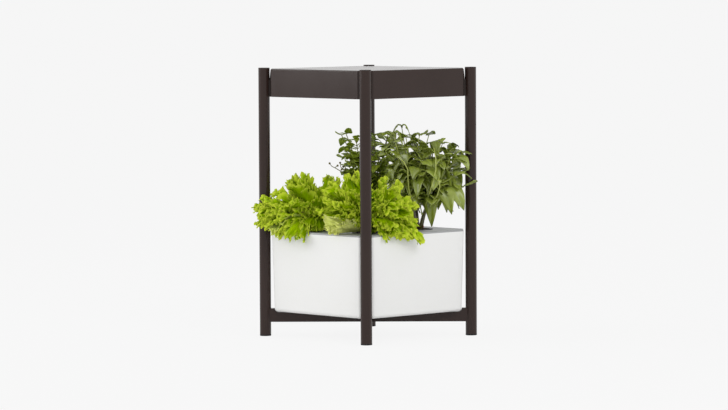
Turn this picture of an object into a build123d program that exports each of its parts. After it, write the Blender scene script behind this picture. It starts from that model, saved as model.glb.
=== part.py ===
from build123d import *
import os
from math import cos, hypot, radians, sin, sqrt

os.makedirs("parts", exist_ok=True)

# Indoor hydroponic garden in the form of an end table: four round posts carry a light hood whose
# flat top is the table, and a crossed brace low down carries a water tank with four growing pots.
# All sizes are in millimetres. +Z is up, the floor is z = 0 and the origin is the middle of the
# stand. The sides run along X and Y, and the posts stand on the diagonals.

# ---- clearances shared by all pieces ----
push_fit = 0.1          # plugs and pins pushed into bores
hole_clearance = 0.2    # round a screw's shank
soft_gap = 1.5          # leaves keep this far from what stands near them
running_gap = 0.08      # between a pin or shaft and what turns on it
slide_gap = 0.25        # between a guide and what slides in it
rest_gap = 0.3          # under a closed flap

# ---- stand ----
overall_height = 711.0
post_pitch = 386.0
post_diameter = 30.0
post_wall = 1.5
cap_thickness = 1.5
cap_rounding = 0.8
foot_height = 4.0
foot_chamfer = 1.0
plug_depth = 10.0

# ---- crossed brace ----
brace_bottom = 37.3
brace_height = 26.0
brace_width = 20.0
brace_sheet = 2.0
brace_end_gap = 1.5         # between the tank's foot and the upstand
brace_end_height = 36.0
cradle_clearance = 1.8      # under the tank's rounded edge

# ---- screws ----
screw_radius = 2.5
screw_head_radius = 4.5
screw_head_height = 3.0
screw_reach = 5.0       # past the inside of a post's wall
socket_radius = 1.6
socket_depth = 1.8

# ---- light hood ----
hood_side = 388.0
hood_height = 74.1
hood_drop = 2.4         # from the tops of the posts down to the table top
hood_sheet = 2.0
hood_corner_gap = 4.0
hood_edge_rounding = 3.0
hood_lip = 12.0
spacer_width = 16.0
spacer_height = 44.0
spacer_tip = 1.2        # the spacer's thickness at its top, above the part that meets the post
spacer_screw_inset = 12.0

# ---- lamp inside the hood ----
diffuser_thickness = 3.0
diffuser_gap = 1.0
lamp_plate_side = 308.0
lamp_plate_thickness = 3.0
lamp_plate_rise = 26.0      # from the hood's lower edge
lamp_plate_corner = 30.0
pillar_radius = 4.0
pillar_pitch = 250.0
strip_count = 4
strip_length = 290.0
strip_width = 20.0
strip_thickness = 1.6
led_count = 9
led_side = 5.0
led_height = 1.0
driver_length = 140.0
driver_width = 56.0
driver_height = 28.0
driver_rounding = 3.0
driver_centre_y = -70.0
board_length = 70.0
board_width = 46.0
board_thickness = 1.6
board_stand = 6.0
board_stand_radius = 2.0
board_stand_inset = 4.0
board_centre_x = -100.0
board_centre_y = 40.0
chip_side = 12.0
chip_height = 2.0
terminal_height = 9.0

# ---- switch, pilot light and power socket on the hood's rear left face ----
button_y = 50.0
button_radius = 7.0
button_proud = 2.0
button_length = 9.0
button_stem_radius = 3.5
button_travel = 1.5
button_flange = 2.5
button_flange_thickness = 1.2
button_tube_wall = 1.4
button_tube_length = 14.0
pilot_y = 75.0
pilot_radius = 2.0
pilot_length = 6.0
pilot_proud = 0.6
socket_y = 115.0
socket_bore_radius = 2.75
socket_bore_depth = 10.0
socket_body_radius = 5.5
socket_body_length = 14.0
socket_flange_radius = 8.0
socket_flange_thickness = 1.5

# ---- water tank ----
pad_thickness = 2.0
pad_radius = 8.0
pad_reach = 150.0
tank_height = 211.7
tank_side_top = 385.2
tank_side_bottom = 376.0
tank_corner = 27.0
tank_wall = 3.0
tank_vertical_rounding = 8.5
tank_base_rounding = 9.5

# ---- deck over the tank ----
deck_edge_height = 4.5
deck_plate = 3.0
deck_inset = 0.6
deck_rounding = 1.2
skirt_depth = 10.0
skirt_wall = 2.5
skirt_clearance = 0.5

# ---- growing pots ----
pot_pitch = 188.0
pot_hole_radius = 34.0
pot_clearance = 1.0
pot_depth = 58.0
pot_base_radius = 24.0
pot_wall = 1.6
pot_flange_width = 5.0
pot_flange_thickness = 2.0
pot_slot_count = 8
pot_slot_width = 5.0
pot_slot_height = 30.0
pot_slot_inset = 12.0
plug_gap = 0.4
plug_drop = 1.5         # from the pot's rim down to the grow plug's top

# ---- plants: heights are above the grow plugs ----
leaf_reach = 244.0      # from the middle of the stand to the outermost leaves
plant_gap = 2.0         # between the plants' outer leaves where they meet
leaf_bulge = 9.0        # how far each tier of leaves swells
stem_radius = 12.0
lettuce_heart = 80.0
lettuce_under_height = 8.0
lettuce_droop = 34.0    # the outer leaves hang over the tank's rim
lettuce_rim_height = 12.0
lettuce_low_radius = 122.0
lettuce_low_height = 62.0
lettuce_middle_radius = 66.0
lettuce_middle_height = 112.0
left_crown_height = 148.0
front_crown_height = 170.0
bush_heart = 50.0
bush_under_height = 52.0
bush_rim_height = 100.0
bush_low_radius = 126.0
bush_low_height = 158.0
bush_middle_radius = 82.0
bush_crown_height = 48.0
basil_height = 276.0
herb_height = 256.0

# ---- filling flap ----
flap_x = -20.0
flap_y = 150.0
flap_length = 70.0
flap_width = 46.0
flap_thickness = 2.5
flap_overlap = 3.0
flap_rounding = 4.0
flap_tab = 6.0
hinge_pin_radius = 1.5
hinge_barrel_radius = 2.8
hinge_height = 3.0
lug_width = 6.0
lug_gap = 0.4

# ---- water level gauge ----
gauge_x = 50.0
gauge_y = 152.0
gauge_tube_radius = 11.0
gauge_tube_wall = 1.5
gauge_tube_length = 120.0
gauge_rod_radius = 2.5
gauge_knob_radius = 5.0
gauge_knob_height = 6.0
float_radius = 8.5
float_length = 34.0
gauge_travel = 30.0
gauge_collar_radius = 5.0   # the collar stops the rod under the deck
gauge_collar_height = 3.0
gauge_hole_clearance = 0.5
gauge_slot_width = 4.0
gauge_slot_height = 70.0
gauge_slot_rise = 8.5

# ---- circulation pump ----
pump_length = 46.0
pump_width = 42.0
pump_height = 44.0
pump_rounding = 3.0
pump_foot_height = 6.0
pump_foot_radius = 6.0
pump_foot_inset = 9.0
pump_foot_draft = 10        # degrees
rotor_radius = 9.0
rotor_length = 24.0
rotor_gap = 0.5
rotor_bore_depth = 28.0
vane_radius = 13.5
vane_height = 6.0
vane_thickness = 1.6
vane_count = 5
vane_disc_thickness = 1.6
volute_depth = 10.0
volute_gap = 1.5
shaft_radius = 1.5
shaft_seat = 4.0
shaft_cover_seat = 1.5
hub_radius = 3.0
pump_cover_thickness = 3.0
intake_count = 3
intake_width = 2.4
intake_pitch = 9.6
spigot_radius = 6.0
spigot_bore = 4.0
spigot_height = 12.0
pipe_wall = 1.6
pipe_top_gap = 18.0     # between the pipe's closed top and the deck
pipe_port_radius = 2.5
pipe_port_drop = 7.5    # from the pipe's top to the ports

# ---- drain plug in the tank's floor ----
drain_y = 110.0
drain_radius = 8.0
drain_clearance = 0.3
drain_head_radius = 13.0
drain_head_height = 5.0
drain_seal_thickness = 1.5
drain_seal_overlap = 1.5
drain_shank = 6.0       # stands above the tank's floor
grip_width = 4.0
grip_depth = 6.0

# ---- places worked out from the sizes above ----
root_two = sqrt(2)
full_turn = 360
post_radius = post_diameter / 2
post_bore = post_radius - post_wall
post_reach = post_pitch / root_two            # from the middle of the stand to a post's axis
post_face = post_reach - post_radius          # to the inner side of a post
hood_top = overall_height - hood_drop
hood_bottom = hood_top - hood_height
hood_half = hood_side / 2
hood_flat = post_face - hood_corner_gap       # to the flat across a hood corner
hood_corner = hood_side - hood_flat * root_two
hood_ceiling = hood_top - hood_sheet
corner_loss = 2 - root_two                    # of a cut corner's leg, for each unit that all sides move in
control_height = hood_bottom + hood_height / 2
tube_radius = button_radius + slide_gap
lamp_plate_bottom = hood_bottom + lamp_plate_rise
lamp_plate_top = lamp_plate_bottom + lamp_plate_thickness
strip_bottom = lamp_plate_bottom - strip_thickness
brace_top = brace_bottom + brace_height
tank_bottom = brace_top + pad_thickness
tank_rim = tank_bottom + tank_height
tank_floor = tank_bottom + tank_wall
tank_foot_flat = (tank_side_bottom - tank_corner) / root_two    # to the flat across a tank corner
cradle_start = tank_foot_flat - tank_base_rounding
brace_end_length = post_face - tank_foot_flat - brace_end_gap
deck_top = tank_rim + deck_edge_height
deck_underside = deck_top - deck_plate
pot_offset = pot_pitch / 2
pot_top = deck_top + pot_flange_thickness
pot_body_radius = pot_hole_radius - pot_clearance
pot_bottom = deck_top - pot_depth
plug_top = pot_top - plug_drop

corners = {"right": 45, "back": 135, "left": 225, "front": 315}


def spot(x, y, z):
    # level plane through a point
    return Plane(origin=(x, y, z))


def facing_x(x, y, z):
    # upright plane whose normal points along +X
    return Plane(origin=(x, y, z), x_dir=(0, 1, 0), z_dir=(1, 0, 0))


def facing_out(angle, reach, z):
    # upright plane that faces outwards along a diagonal; its own x is level and its own y is up
    across, up = cos(radians(angle)), sin(radians(angle))
    return Plane(origin=(reach * across, reach * up, z), x_dir=(-up, across, 0), z_dir=(across, up, 0))


def on_diagonal(angle, reach, z):
    # level plane at a distance out along a diagonal, with its own x pointing outwards
    across, up = cos(radians(angle)), sin(radians(angle))
    return Plane(origin=(reach * across, reach * up, z), x_dir=(across, up, 0), z_dir=(0, 0, 1))


def along_side(angle, reach, z):
    # upright plane through a diagonal; its own x points outwards along it and its own y is up
    across, up = cos(radians(angle)), sin(radians(angle))
    return Plane(origin=(reach * across, reach * up, z), x_dir=(across, up, 0), z_dir=(up, -across, 0))


def signs(angle):
    # which quarter of the plan a corner is in
    return (1 if cos(radians(angle)) > 0 else -1), (1 if sin(radians(angle)) > 0 else -1)


def cut_square(side, corner, rounding):
    # a square with its corners cut off and every edge eased
    with BuildSketch(Plane.XY, mode=Mode.PRIVATE) as outline:
        Rectangle(side, side)
        chamfer(outline.vertices(), length=corner)
        if rounding > 0:
            fillet(outline.vertices(), radius=rounding)
    return outline.sketch


def write(piece, name):
    piece.part.label = name
    export_step(piece.part, f"parts/{name}.step")


def write_group(pieces, name):
    # solids that touch and stay apart
    group = Compound([solid for piece in pieces for solid in piece.part.solids()])
    group.label = name
    export_step(group, f"parts/{name}.step")


def screw(base, length):
    # pan head screw whose head sits on the plane and whose shank runs along the plane's normal
    with BuildPart(mode=Mode.PRIVATE) as body:
        with BuildSketch(base.offset(-screw_head_height)):
            Circle(screw_head_radius)
        extrude(amount=screw_head_height)
        with BuildSketch(base):
            Circle(screw_radius)
        extrude(amount=length)
        with BuildSketch(base.offset(-screw_head_height)):
            RegularPolygon(socket_radius, 6)
        extrude(amount=socket_depth, mode=Mode.SUBTRACT)
    return body.part


# ---- posts with their caps and feet ----
hood_screw_heights = [hood_bottom + spacer_screw_inset, hood_bottom + spacer_height - spacer_screw_inset]
brace_screw_height = brace_bottom + brace_height / 2

for name, angle in corners.items():
    with BuildPart() as post:
        with BuildSketch(on_diagonal(angle, post_reach, foot_height)):
            Circle(post_radius)
            Circle(post_bore, mode=Mode.SUBTRACT)
        extrude(amount=overall_height - cap_thickness - foot_height)
        for height in hood_screw_heights + [brace_screw_height]:
            with BuildSketch(facing_out(angle, post_face - post_wall, height)):
                Circle(screw_radius + hole_clearance)
            extrude(amount=post_radius, mode=Mode.SUBTRACT)
    write(post, f"{name}_post")

    with BuildPart() as cap:
        with BuildSketch(on_diagonal(angle, post_reach, overall_height - cap_thickness)):
            Circle(post_radius)
        extrude(amount=cap_thickness)
        fillet(cap.edges().sort_by(Axis.Z)[-1], radius=cap_rounding)
        with BuildSketch(on_diagonal(angle, post_reach, overall_height - cap_thickness - plug_depth)):
            Circle(post_bore - push_fit)
        extrude(amount=plug_depth)
    write(cap, f"{name}_post_cap")

    with BuildPart() as foot:
        with BuildSketch(on_diagonal(angle, post_reach, 0)):
            Circle(post_radius)
        extrude(amount=foot_height)
        chamfer(foot.edges().sort_by(Axis.Z)[0], length=foot_chamfer)
        with BuildSketch(on_diagonal(angle, post_reach, foot_height)):
            Circle(post_bore - push_fit)
        extrude(amount=plug_depth)
    write(foot, f"{name}_foot")


# ---- crossed brace: two folded channels, half-lapped where they cross ----
def brace_bar(name, angle, lap_bottom, lap_top):
    along = on_diagonal(angle, 0, brace_bottom)
    with BuildPart() as bar:
        with BuildSketch(along):
            Rectangle(2 * post_reach, brace_width)
        extrude(amount=brace_height)
        with BuildSketch(along):
            Rectangle(2 * (post_face - brace_end_length), brace_width - 2 * brace_sheet)
        extrude(amount=brace_height - brace_sheet, mode=Mode.SUBTRACT)
        for end in (angle, angle + full_turn / 2):
            with BuildSketch(on_diagonal(end, post_face - brace_end_length, brace_bottom)):
                Rectangle(brace_end_length + post_radius, brace_width, align=(Align.MIN, Align.CENTER))
            extrude(amount=brace_end_height)
            with BuildSketch(on_diagonal(end, cradle_start, brace_top)):
                Rectangle(post_face - cradle_start, brace_width, align=(Align.MIN, Align.CENTER))
            extrude(amount=brace_end_height - brace_height)
            with BuildSketch(along_side(end, cradle_start, tank_bottom + tank_base_rounding)):
                Circle(tank_base_rounding + cradle_clearance)
            extrude(amount=brace_width, both=True, mode=Mode.SUBTRACT)
            with BuildSketch(facing_out(end, post_face - brace_end_length, brace_screw_height)):
                Circle(screw_radius + hole_clearance)
            extrude(amount=brace_end_length + post_radius, mode=Mode.SUBTRACT)
            with BuildSketch(on_diagonal(end, post_reach, brace_bottom)):
                Circle(post_radius)
            extrude(amount=brace_end_height, mode=Mode.SUBTRACT)
        with BuildSketch(along.offset(lap_bottom)):
            Rectangle(brace_width + 2 * hole_clearance, brace_width)
        extrude(amount=lap_top - lap_bottom, mode=Mode.SUBTRACT)
    write(bar, name)


brace_bar("side_brace_bar", corners["right"], 0, brace_height / 2)
brace_bar("fore_brace_bar", corners["back"], brace_height / 2, brace_height)

with BuildPart() as brace_screws:
    for angle in corners.values():
        add(screw(facing_out(angle, post_face - brace_end_length, brace_screw_height),
                  brace_end_length + post_wall + screw_reach))
write(brace_screws, "brace_screws")

# ---- light hood: a top sheet on four side sheets, mitred at the cut corners, with a turned-in lip ----
inner_side = hood_side - 2 * hood_sheet
inner_corner = hood_corner - hood_sheet * corner_loss
lip_side = inner_side - 2 * hood_lip
lip_corner = inner_corner - hood_lip * corner_loss
through_hood = 3 * hood_sheet       # a hole's cut, with one sheet to spare on both sides

with BuildPart() as hood_block:
    with BuildSketch(Plane.XY.offset(hood_bottom)):
        add(cut_square(hood_side, hood_corner, hood_edge_rounding))
    extrude(amount=hood_height)
    fillet(hood_block.faces().sort_by(Axis.Z)[-1].edges(), radius=hood_edge_rounding - hole_clearance)

with BuildPart() as hood_top_sheet:
    add(hood_block.part)
    split(bisect_by=Plane.XY.offset(hood_ceiling), keep=Keep.TOP)

with BuildPart() as hood_sides:
    add(hood_block.part)
    split(bisect_by=Plane.XY.offset(hood_ceiling), keep=Keep.BOTTOM)
    with BuildSketch(Plane.XY.offset(hood_bottom + hood_sheet)):
        add(cut_square(inner_side, inner_corner, hood_edge_rounding - hood_sheet))
    extrude(amount=hood_height, mode=Mode.SUBTRACT)
    with BuildSketch(Plane.XY.offset(hood_bottom)):
        add(cut_square(lip_side, lip_corner, hood_edge_rounding))
    extrude(amount=hood_sheet, mode=Mode.SUBTRACT)
    for angle in corners.values():
        for height in hood_screw_heights:
            with BuildSketch(facing_out(angle, hood_flat - 2 * hood_sheet, height)):
                Circle(screw_radius + hole_clearance)
            extrude(amount=through_hood, mode=Mode.SUBTRACT)
    control_holes = {
        button_y: tube_radius + button_tube_wall + push_fit,
        pilot_y: pilot_radius + push_fit,
        socket_y: socket_body_radius + push_fit,
    }
    for place, radius in control_holes.items():
        with BuildSketch(facing_x(-hood_half - hood_sheet, place, control_height)):
            Circle(radius)
        extrude(amount=through_hood, mode=Mode.SUBTRACT)
    for name in ("right", "back"):
        split(bisect_by=along_side(corners[name], 0, 0), keep=Keep.BOTH)
write_group([hood_top_sheet, hood_sides], "hood_shell")

spacer_top = hood_height - hood_edge_rounding
for name, angle in corners.items():
    with BuildPart() as spacer:
        with BuildSketch(along_side(angle, hood_flat, hood_bottom)):
            with BuildLine():
                Polyline((0, 0), (hood_corner_gap + post_radius, 0),
                         (hood_corner_gap + post_radius, spacer_height), (hood_corner_gap, spacer_height),
                         (spacer_tip, spacer_top), (0, spacer_top), close=True)
            make_face()
        extrude(amount=spacer_width / 2, both=True)
        with BuildSketch(on_diagonal(angle, post_reach, hood_bottom)):
            Circle(post_radius)
        extrude(amount=spacer_height, mode=Mode.SUBTRACT)
        for height in hood_screw_heights:
            with BuildSketch(facing_out(angle, hood_flat, height)):
                Circle(screw_radius + hole_clearance)
            extrude(amount=hood_corner_gap + post_radius, mode=Mode.SUBTRACT)
    write(spacer, f"{name}_hood_spacer")

with BuildPart() as hood_screws:
    for angle in corners.values():
        for height in hood_screw_heights:
            add(screw(facing_out(angle, hood_flat - hood_sheet, height),
                      hood_sheet + hood_corner_gap + post_wall + screw_reach))
write(hood_screws, "hood_screws")

# ---- lamp: diffuser on the lip, and an aluminium plate with led strips hung from the hood ----
with BuildPart() as diffuser:
    with BuildSketch(Plane.XY.offset(hood_bottom + hood_sheet)):
        add(cut_square(inner_side - 2 * diffuser_gap, inner_corner, 0))
    extrude(amount=diffuser_thickness)
write(diffuser, "light_diffuser")

with BuildPart() as lamp_plate:
    with BuildSketch(Plane.XY.offset(lamp_plate_bottom)):
        add(cut_square(lamp_plate_side, lamp_plate_corner, 0))
    extrude(amount=lamp_plate_thickness)
write(lamp_plate, "lamp_plate")

with BuildPart() as pillars:
    with BuildSketch(Plane.XY.offset(lamp_plate_top)):
        with GridLocations(pillar_pitch, pillar_pitch, 2, 2):
            Circle(pillar_radius)
    extrude(amount=hood_ceiling - lamp_plate_top)
write(pillars, "lamp_pillars")

strip_pitch = (lamp_plate_side - 2 * lamp_plate_corner) / (strip_count - 1)
with BuildPart() as led_strips:
    with BuildSketch(Plane.XY.offset(strip_bottom)):
        with GridLocations(strip_pitch, strip_pitch, 1, strip_count):
            Rectangle(strip_length - lamp_plate_corner, strip_width)
    extrude(amount=strip_thickness)
write(led_strips, "led_strips")

led_pitch = (strip_length - lamp_plate_corner) / led_count
with BuildPart() as leds:
    with BuildSketch(Plane.XY.offset(strip_bottom - led_height)):
        with GridLocations(led_pitch, strip_pitch, led_count, strip_count):
            Rectangle(led_side, led_side)
    extrude(amount=led_height)
write(leds, "grow_leds")

with BuildPart() as driver:
    with BuildSketch(spot(0, driver_centre_y, lamp_plate_top)):
        Rectangle(driver_length, driver_width)
    extrude(amount=driver_height)
    fillet(driver.edges().filter_by(Axis.Z), radius=driver_rounding)
    fillet(driver.faces().sort_by(Axis.Z)[-1].edges(), radius=driver_rounding / 2)
write(driver, "lamp_driver")

with BuildPart() as board_stands:
    with BuildSketch(spot(board_centre_x, board_centre_y, lamp_plate_top)):
        with GridLocations(board_width - 2 * board_stand_inset, board_length - 2 * board_stand_inset, 2, 2):
            Circle(board_stand_radius)
    extrude(amount=board_stand)
write(board_stands, "board_stands")

with BuildPart() as board:
    board_base = spot(board_centre_x, board_centre_y, lamp_plate_top + board_stand)
    with BuildSketch(board_base):
        Rectangle(board_width, board_length)
    extrude(amount=board_thickness)
    with BuildSketch(board_base.offset(board_thickness)):
        Rectangle(chip_side, chip_side)
    extrude(amount=chip_height)
    with BuildSketch(board_base.offset(board_thickness)):
        with Locations((0, board_length / 2 - chip_side)):
            Rectangle(2 * chip_side, chip_side)
    extrude(amount=terminal_height)
write(board, "control_board")

# ---- switch, pilot light and power socket ----
with BuildPart() as button_tube:
    with BuildSketch(facing_x(-hood_half - button_flange_thickness, button_y, control_height)):
        Circle(tube_radius + button_flange)
    extrude(amount=button_flange_thickness)
    with BuildSketch(facing_x(-hood_half, button_y, control_height)):
        Circle(tube_radius + button_tube_wall)
    extrude(amount=button_tube_length)
    with BuildSketch(facing_x(-hood_half - button_flange_thickness, button_y, control_height)):
        Circle(tube_radius)
    extrude(amount=button_flange_thickness + button_tube_length - button_tube_wall, mode=Mode.SUBTRACT)
write(button_tube, "button_tube")

button_face = -hood_half - button_flange_thickness - button_proud
stem_start = button_face + button_length
stem_end = -hood_half + button_tube_length - button_tube_wall - button_travel - rest_gap
with BuildPart() as button:
    with BuildSketch(facing_x(button_face, button_y, control_height)):
        Circle(button_radius)
    extrude(amount=button_length)
    fillet(button.edges().sort_by(Axis.X)[0], radius=cap_rounding)
    with BuildSketch(facing_x(stem_start, button_y, control_height)):
        Circle(button_stem_radius)
    extrude(amount=stem_end - stem_start)
write(button, "power_button")

with BuildPart() as pilot:
    with BuildSketch(facing_x(-hood_half - pilot_proud, pilot_y, control_height)):
        Circle(pilot_radius + cap_rounding)
    extrude(amount=pilot_proud)
    with BuildSketch(facing_x(-hood_half, pilot_y, control_height)):
        Circle(pilot_radius)
    extrude(amount=pilot_length)
write(pilot, "pilot_lens")

with BuildPart() as power_socket:
    with BuildSketch(facing_x(-hood_half - socket_flange_thickness, socket_y, control_height)):
        Circle(socket_flange_radius)
    extrude(amount=socket_flange_thickness)
    with BuildSketch(facing_x(-hood_half, socket_y, control_height)):
        Circle(socket_body_radius)
    extrude(amount=socket_body_length)
    with BuildSketch(facing_x(-hood_half - socket_flange_thickness, socket_y, control_height)):
        Circle(socket_bore_radius)
    extrude(amount=socket_bore_depth, mode=Mode.SUBTRACT)
write(power_socket, "power_socket")

# ---- water tank: a tapered tub with cut corners, standing on pads on the brace ----
with BuildPart() as pads:
    for angle in corners.values():
        with BuildSketch(on_diagonal(angle, pad_reach, brace_top)):
            Circle(pad_radius)
        extrude(amount=pad_thickness)
write(pads, "tank_pads")


def tub(side_bottom, side_top, corner, bottom, top, side_rounding, base_rounding):
    # tapered block with cut corners, its upright edges and its base edge rounded
    with BuildPart(mode=Mode.PRIVATE) as block:
        with BuildSketch(Plane.XY.offset(bottom)):
            add(cut_square(side_bottom, corner, 0))
        with BuildSketch(Plane.XY.offset(top)):
            add(cut_square(side_top, corner, 0))
        loft()
        level = block.faces().filter_by(Axis.Z)
        fillet([edge for edge in block.edges() if edge not in level.edges()], radius=side_rounding)
        fillet(block.faces().sort_by(Axis.Z)[0].edges(), radius=base_rounding)
    return block.part


taper = (tank_side_top - tank_side_bottom) / tank_height
cavity_bottom_side = tank_side_bottom + taper * tank_wall - 2 * tank_wall
cavity_top_side = tank_side_top - 2 * tank_wall
cavity_corner = tank_corner - tank_wall * corner_loss

with BuildPart() as tank:
    add(tub(tank_side_bottom, tank_side_top, tank_corner, tank_bottom, tank_rim,
            tank_vertical_rounding, tank_base_rounding))
    add(tub(cavity_bottom_side, cavity_top_side, cavity_corner, tank_floor, tank_rim,
            tank_vertical_rounding - tank_wall, tank_base_rounding - tank_wall), mode=Mode.SUBTRACT)
    with BuildSketch(spot(0, drain_y, tank_bottom)):
        Circle(drain_radius + drain_clearance)
    extrude(amount=tank_wall, mode=Mode.SUBTRACT)
write(tank, "water_tank")

# ---- deck: a lid with a locating skirt, four pot holes, a filling hole and a gauge hole ----
skirt_side = cavity_top_side - taper * skirt_depth - 2 * skirt_clearance
skirt_inside = skirt_side - 2 * skirt_wall
skirt_inside_corner = cavity_corner - skirt_wall * corner_loss
deck_side = tank_side_top - 2 * deck_inset
hinge_y = flap_y - flap_width / 2 - hinge_barrel_radius
hinge_z = deck_top + hinge_height
lug_offset = flap_length / 2 - lug_width / 2
filling_hole_length = flap_length - 2 * flap_overlap
filling_hole_width = flap_width - 2 * flap_overlap

with BuildPart() as deck:
    with BuildSketch(Plane.XY.offset(tank_rim)):
        add(cut_square(deck_side, tank_corner, tank_vertical_rounding))
    extrude(amount=deck_edge_height)
    fillet(deck.faces().sort_by(Axis.Z)[-1].edges(), radius=deck_rounding)
    with BuildSketch(Plane.XY.offset(tank_rim - skirt_depth)):
        add(cut_square(skirt_side, cavity_corner, tank_vertical_rounding - tank_wall))
    extrude(amount=skirt_depth)
    with BuildSketch(Plane.XY.offset(tank_rim - skirt_depth)):
        add(cut_square(skirt_inside, skirt_inside_corner, tank_vertical_rounding - tank_wall - skirt_wall))
    extrude(amount=skirt_depth + deck_edge_height - deck_plate, mode=Mode.SUBTRACT)
    with BuildSketch(Plane.XY.offset(deck_underside)):
        with GridLocations(pot_pitch, pot_pitch, 2, 2):
            Circle(pot_hole_radius)
    extrude(amount=deck_plate, mode=Mode.SUBTRACT)
    with BuildSketch(spot(flap_x, flap_y, deck_underside)):
        RectangleRounded(filling_hole_length, filling_hole_width, flap_rounding)
    extrude(amount=deck_plate, mode=Mode.SUBTRACT)
    with BuildSketch(spot(gauge_x, gauge_y, deck_underside)):
        Circle(gauge_rod_radius + gauge_hole_clearance)
    extrude(amount=deck_plate, mode=Mode.SUBTRACT)
    for side in (-1, 1):
        lug_start = flap_x + side * lug_offset - lug_width / 2
        with BuildSketch(facing_x(lug_start, hinge_y, deck_top)):
            Rectangle(2 * hinge_barrel_radius, hinge_height, align=(Align.CENTER, Align.MIN))
            with Locations((0, hinge_height)):
                Circle(hinge_barrel_radius)
            with Locations((0, hinge_height)):
                Circle(hinge_pin_radius, mode=Mode.SUBTRACT)
        extrude(amount=lug_width)
write(deck, "deck")

# ---- filling flap on its hinge pin ----
with BuildPart() as hinge_pin:
    with BuildSketch(facing_x(flap_x - flap_length / 2, hinge_y, hinge_z)):
        Circle(hinge_pin_radius)
    extrude(amount=flap_length)
write(hinge_pin, "flap_hinge_pin")

barrel_length = flap_length - 2 * lug_width - 2 * lug_gap
with BuildPart() as flap:
    with BuildSketch(spot(flap_x, flap_y, deck_top + rest_gap)):
        RectangleRounded(flap_length, flap_width, flap_rounding)
        with Locations((0, flap_width / 2)):
            RectangleRounded(2 * flap_tab, 2 * flap_tab, flap_rounding)
    extrude(amount=flap_thickness)
    with BuildSketch(spot(flap_x, hinge_y + hinge_barrel_radius, deck_top + rest_gap)):
        Rectangle(barrel_length, 2 * hinge_barrel_radius)
    extrude(amount=flap_thickness)
    with BuildSketch(facing_x(flap_x - barrel_length / 2, hinge_y, hinge_z)):
        Circle(hinge_barrel_radius)
    extrude(amount=barrel_length)
    with BuildSketch(facing_x(flap_x - barrel_length / 2, hinge_y, hinge_z)):
        Circle(hinge_pin_radius + running_gap)
    extrude(amount=barrel_length, mode=Mode.SUBTRACT)
write(flap, "filling_flap")

# ---- water level gauge: a float in a guide tube, with a knob that stands above the deck ----
tube_bottom = deck_underside - gauge_tube_length
tube_bore = gauge_tube_radius - gauge_tube_wall
with BuildPart() as gauge_tube:
    with BuildSketch(spot(gauge_x, gauge_y, tube_bottom)):
        Circle(gauge_tube_radius)
    extrude(amount=gauge_tube_length)
    with BuildSketch(spot(gauge_x, gauge_y, tube_bottom + gauge_tube_wall)):
        Circle(tube_bore)
    extrude(amount=gauge_tube_length, mode=Mode.SUBTRACT)
    with BuildSketch(spot(gauge_x, gauge_y, tube_bottom)):
        Circle(float_radius / 2)
    extrude(amount=gauge_tube_wall, mode=Mode.SUBTRACT)
    slot_middle = tube_bottom + gauge_slot_rise + gauge_slot_height / 2
    with BuildSketch(facing_x(gauge_x - gauge_tube_radius, gauge_y, slot_middle)):
        SlotOverall(gauge_slot_height, gauge_slot_width, rotation=full_turn / 4)
    extrude(amount=2 * gauge_tube_radius, mode=Mode.SUBTRACT)
write(gauge_tube, "gauge_tube")

float_bottom = tube_bottom + gauge_tube_wall
with BuildPart() as level_float:
    with BuildSketch(spot(gauge_x, gauge_y, float_bottom)):
        Circle(float_radius)
    extrude(amount=float_length)
    fillet(level_float.edges().group_by(Axis.Z)[-1], radius=cap_rounding)
    with BuildSketch(spot(gauge_x, gauge_y, float_bottom + float_length)):
        Circle(gauge_rod_radius)
    extrude(amount=deck_top + rest_gap - float_bottom - float_length)
    collar_top = deck_underside - gauge_travel - rest_gap
    with BuildSketch(spot(gauge_x, gauge_y, collar_top - gauge_collar_height)):
        Circle(gauge_collar_radius)
    extrude(amount=gauge_collar_height)
    with BuildSketch(spot(gauge_x, gauge_y, deck_top + rest_gap)):
        Circle(gauge_knob_radius)
    extrude(amount=gauge_knob_height)
    fillet(level_float.edges().group_by(Axis.Z)[-1], radius=2 * cap_rounding)
write(level_float, "level_float")

# ---- circulation pump standing on the tank's floor ----
pump_bottom = tank_floor + pump_foot_height
pump_top = pump_bottom + pump_height
axle_height = pump_bottom + pump_height / 2
pump_front = pump_length / 2
volute_back = pump_front - volute_depth
rotor_bore_end = volute_back - rotor_bore_depth
rotor_front = volute_back + rotor_gap
outlet_x = volute_back + volute_depth / 2

with BuildPart() as pump_feet:
    with BuildSketch(Plane.XY.offset(tank_floor)):
        with GridLocations(pump_length - 2 * pump_foot_inset, pump_width - 2 * pump_foot_inset, 2, 2):
            Circle(pump_foot_radius)
    extrude(amount=pump_foot_height, taper=pump_foot_draft)
write(pump_feet, "pump_feet")

with BuildPart() as pump:
    with BuildSketch(Plane.XY.offset(pump_bottom)):
        Rectangle(pump_length, pump_width)
    extrude(amount=pump_height)
    fillet(pump.edges().filter_by(Axis.Z), radius=pump_rounding)
    with BuildSketch(spot(outlet_x, 0, pump_top)):
        Circle(spigot_radius)
    extrude(amount=spigot_height)
    with BuildSketch(facing_x(volute_back, 0, axle_height)):
        Circle(vane_radius + volute_gap)
    extrude(amount=volute_depth, mode=Mode.SUBTRACT)
    with BuildSketch(facing_x(rotor_bore_end, 0, axle_height)):
        Circle(rotor_radius + rotor_gap)
    extrude(amount=rotor_bore_depth, mode=Mode.SUBTRACT)
    with BuildSketch(facing_x(rotor_bore_end - shaft_seat, 0, axle_height)):
        Circle(shaft_radius)
    extrude(amount=shaft_seat, mode=Mode.SUBTRACT)
    with BuildSketch(spot(outlet_x, 0, axle_height)):
        Circle(spigot_bore)
    extrude(amount=pump_height, mode=Mode.SUBTRACT)
write(pump, "pump_body")

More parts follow.
